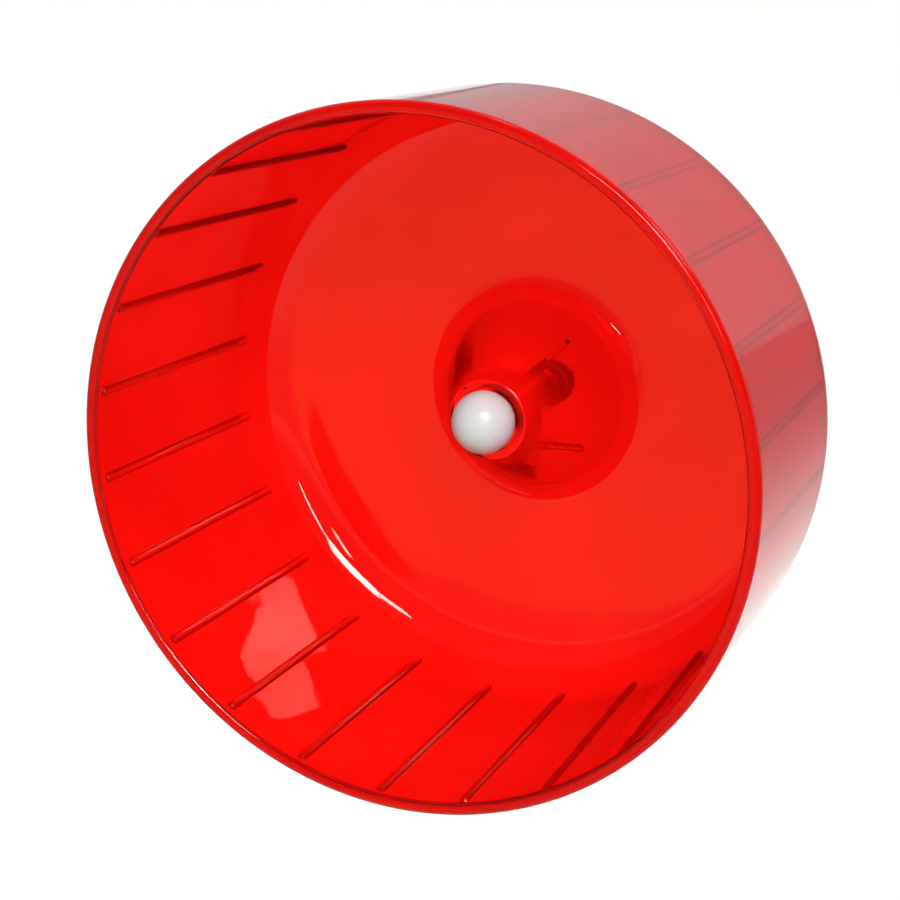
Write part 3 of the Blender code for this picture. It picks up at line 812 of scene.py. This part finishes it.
class WHEEL_OT_axle(Operator):
    """Make the steel axle, threaded where the nuts sit"""

    bl_idname = "hamster_wheel.axle"
    bl_label = "Axle"

    def execute(self, context):
        s = context.scene.wheel_sizes
        radius = node_radius("axle")
        back, front = node_back("axle"), node_front("axle")
        chamfer = s.nut_chamfer
        thread_end = node_front("shoulder_nut")
        depth = THREAD_DEPTH * s.thread_pitch
        run_out = s.thread_pitch
        threaded = np.arange(back, thread_end + run_out, s.thread_pitch / THREAD_ROWS)
        height = np.concatenate([[back], threaded, [front - chamfer, front, front]])[:, None]
        turn = np.arange(TURNED_COLUMNS) * FULL_TURN / TURNED_COLUMNS
        fade = np.clip((thread_end + run_out - height) / run_out, 0, 1)
        r = radius - depth * fade * thread_cut(s, height, turn)
        limit = radius - chamfer + np.minimum(height - back, front - height)
        r = np.minimum(r, limit)
        r[0] = 0
        r[-1] = 0
        mesh = grid_mesh("threaded_axle", laid_down(r, height, turn), closed=False)
        finished(mesh, FIXED_BODY, "axle", "steel")
        return {"FINISHED"}


def nut_mesh(s, name, low, high, flange_radius):
    """A hexagon nut. Round the hexagon the radius is half the flats over the cosine of the turn from the
    nearest flat's middle, and near an end it is held to a cone of 30 degrees that starts just inside the
    flats. With a flange, the lower end is a round plate."""
    turn = np.arange(NUT_COLUMNS) * FULL_TURN / NUT_COLUMNS
    from_flat = (turn + FULL_TURN / 12) % (FULL_TURN / 6) - FULL_TURN / 12
    flat = s.nut_flats / 2
    bore = bore_radius(s)
    edge = s.gap / 2
    near_end = np.linspace(0, s.nut_chamfer, NUT_END_ROWS)
    upper_end = high - near_end[::-1]
    if flange_radius:
        hex_low = low + s.nut_flange
        height = np.concatenate([[hex_low], upper_end])[:, None]
        from_end = high - height
        plate = rounded([(bore, low), (flange_radius, low), (flange_radius, hex_low - edge), (flat, hex_low)],
                        (0, edge, edge, 0))
    else:
        height = np.concatenate([low + near_end, upper_end])[:, None]
        from_end = np.minimum(height - low, high - height)
        plate = np.array([(bore, low)])
    cone = flat * NUT_CONE_START + from_end / math.tan(NUT_CONE_ANGLE)
    hexagon = np.minimum(flat / np.cos(from_flat), cone)
    full = np.ones_like(turn)
    r = np.concatenate([plate[:, :1] * full, hexagon, [bore * full]])
    h = np.concatenate([plate[:, 1:] * full, height * full, [high * full]])
    return grid_mesh(name, laid_down(r, h, turn))


class WHEEL_OT_nuts(Operator):
    """Make the flanged shoulder nut and the clamp nut behind the hub"""

    bl_idname = "hamster_wheel.nuts"
    bl_label = "Nuts"

    def execute(self, context):
        s = context.scene.wheel_sizes
        for node, flange in (("shoulder_nut", node_radius("shoulder_nut")), ("clamp_nut", 0)):
            mesh = nut_mesh(s, "steel_" + node, node_back(node), node_front(node), flange)
            finished(mesh, FIXED_BODY, node, "steel")
        return {"FINISHED"}


def softbox(name, target, direction, distance, along, size, radiance, half_spread):
    """A rectangular softbox with a grid, in a direction from its target, which it faces. Its first side runs
    along a given direction. The grid dims it evenly in the tangent of the angle off its axis, to nothing at
    the half spread, so its power is pi times its area times its radiance on the axis, times one less the
    half spread over its tangent."""
    light = bpy.data.lights.new(name, "AREA")
    light.shape = "RECTANGLE"
    light.size, light.size_y = size
    light.spread = 2 * half_spread
    light.energy = radiance * size[0] * size[1] * math.pi * (1 - half_spread / math.tan(half_spread))
    away = Vector(direction).normalized()
    first = Vector(along) - Vector(along).dot(away) * away
    first.normalize()
    lamp = bpy.data.objects.new(name, light)
    axes = Matrix((first, away.cross(first), away)).transposed()
    lamp.matrix_world = Matrix.Translation(target + away * distance) @ axes.to_4x4()
    bpy.context.scene.collection.objects.link(lamp)
    return lamp


def studio_sky(studio):
    """A bright room whose upper front is dark: the brightness falls where the direction points up and to the
    front, and stays even near the horizon, behind and below. The darkness is the product of two shares, one
    that grows just over the horizon and one that grows from a little behind the side to the front."""
    world = bpy.data.worlds.new("studio_sky")
    world.use_nodes = True
    tree = world.node_tree
    background = tree.nodes["Background"]
    background.inputs["Color"].default_value = (1, 1, 1, 1)
    toward = add(tree, "ShaderNodeTexCoord").outputs["Generated"]
    height = add(tree, "ShaderNodeSeparateXYZ", {0: toward}).outputs["Z"]
    front = add(tree, "ShaderNodeVectorMath", {0: toward, 1: DARK_SKY_WAY}, operation="DOT_PRODUCT")
    up_share = add(tree, "ShaderNodeMapRange", {"Value": height, "From Min": 0.0, "From Max": 0.1})
    front_share = add(tree, "ShaderNodeMapRange", {"Value": front.outputs["Value"], "From Min": -0.3,
                                                   "From Max": 0.2})
    dark = add(tree, "ShaderNodeMath", {0: up_share.outputs[0], 1: front_share.outputs[0]},
               operation="MULTIPLY")
    strength = add(tree, "ShaderNodeMapRange", {"Value": dark.outputs[0], "To Min": studio.sky,
                                                "To Max": studio.dark_sky})
    tree.links.new(strength.outputs[0], background.inputs["Strength"])
    return world


def photo_camera(studio, aim):
    """The camera at the photograph's angle: the aim point lies in front of it by the distance, and off its
    axis to the left and below by the two offsets, so no lens shift is needed."""
    a, e = studio.azimuth, studio.elevation
    right = Vector((math.cos(a), math.sin(a), 0))
    forward = Vector((-math.sin(a) * math.cos(e), math.cos(a) * math.cos(e), -math.sin(e)))
    up = right.cross(forward)
    camera = bpy.data.cameras.new("photo_camera")
    camera.lens = studio.lens
    camera.sensor_width = 36
    camera.clip_start = 10 * MM
    camera.clip_end = 2 * studio.floor_radius
    holder = bpy.data.objects.new("photo_camera", camera)
    place = aim - forward * studio.distance + right * studio.right + up * studio.above
    axes = Matrix((right, up, -forward)).transposed()
    holder.matrix_world = Matrix.Translation(place) @ axes.to_4x4()
    bpy.context.scene.collection.objects.link(holder)
    return holder


class WHEEL_OT_stage(Operator):
    """Make the pale floor, the soft studio light and the camera"""

    bl_idname = "hamster_wheel.stage"
    bl_label = "Studio"

    def execute(self, context):
        scene = context.scene
        s, studio = scene.wheel_sizes, scene.wheel_studio
        turn = np.arange(FLOOR_COLUMNS) * FULL_TURN / FLOOR_COLUMNS
        rings = np.array([0, studio.floor_radius / 3, studio.floor_radius])[:, None]
        flat = np.stack(np.broadcast_arrays(rings * np.cos(turn), rings * np.sin(turn), -studio.floor_drop),
                        axis=-1)
        mesh = grid_mesh("studio_floor", flat, closed=False)
        mesh.materials.append(pale_board("pale_studio_board"))
        floor = bpy.data.objects.new("studio_floor", mesh)
        scene.collection.objects.link(floor)

        scene.world = studio_sky(studio)
        aim = Vector((0, -s.rim_height, 0))
        for name, (direction, along, size, radiance) in SOFTBOXES.items():
            softbox(name, aim, direction, SOFTBOX_DISTANCE, along, size, radiance, SOFTBOX_SPREAD)
        for name, (place, size, radiance, tint) in FLOOR_LAMPS.items():
            below = Vector((*place, -studio.floor_drop))
            lamp = softbox(name, below, (0, 0, 1), FLOOR_LAMP_HEIGHT, (1, 0, 0), size, radiance,
                           FLOOR_LAMP_SPREAD)
            lamp.data.color = tint
        scene.camera = photo_camera(studio, aim)
        scene.view_settings.view_transform = "Standard"
        return {"FINISHED"}


class WHEEL_PT_panel(Panel):
    """Lists the pieces and the values that shape them"""

    bl_label = "Hamster wheel"
    bl_idname = "WHEEL_PT_panel"
    bl_space_type = "VIEW_3D"
    bl_region_type = "UI"
    bl_category = "Hamster wheel"

    def draw(self, context):
        for operator in OPERATORS:
            self.layout.operator(operator.bl_idname)
        for group in (context.scene.wheel_sizes, context.scene.wheel_colours, context.scene.wheel_studio):
            box = self.layout.box()
            for name in group.bl_rna.properties.keys():
                if name not in ("rna_type", "name"):
                    box.prop(group, name)


GROUPS = (WheelSizes, WheelColours, WheelStudio)
OPERATORS = (WHEEL_OT_drum, WHEEL_OT_bushes, WHEEL_OT_cap, WHEEL_OT_washers, WHEEL_OT_axle, WHEEL_OT_nuts,
             WHEEL_OT_stage)


def register():
    for made in GROUPS + OPERATORS + (WHEEL_PT_panel,):
        bpy.utils.register_class(made)
    bpy.types.Scene.wheel_sizes = PointerProperty(type=WheelSizes)
    bpy.types.Scene.wheel_colours = PointerProperty(type=WheelColours)
    bpy.types.Scene.wheel_studio = PointerProperty(type=WheelStudio)


def unregister():
    del bpy.types.Scene.wheel_studio
    del bpy.types.Scene.wheel_colours
    del bpy.types.Scene.wheel_sizes
    for made in reversed(GROUPS + OPERATORS + (WHEEL_PT_panel,)):
        bpy.utils.unregister_class(made)


def main():
    register()
    bpy.ops.hamster_wheel.drum()
    bpy.ops.hamster_wheel.bushes()
    bpy.ops.hamster_wheel.cap()
    bpy.ops.hamster_wheel.washers()
    bpy.ops.hamster_wheel.axle()
    bpy.ops.hamster_wheel.nuts()
    bpy.ops.hamster_wheel.stage()


if __name__ == "__main__":
    main()
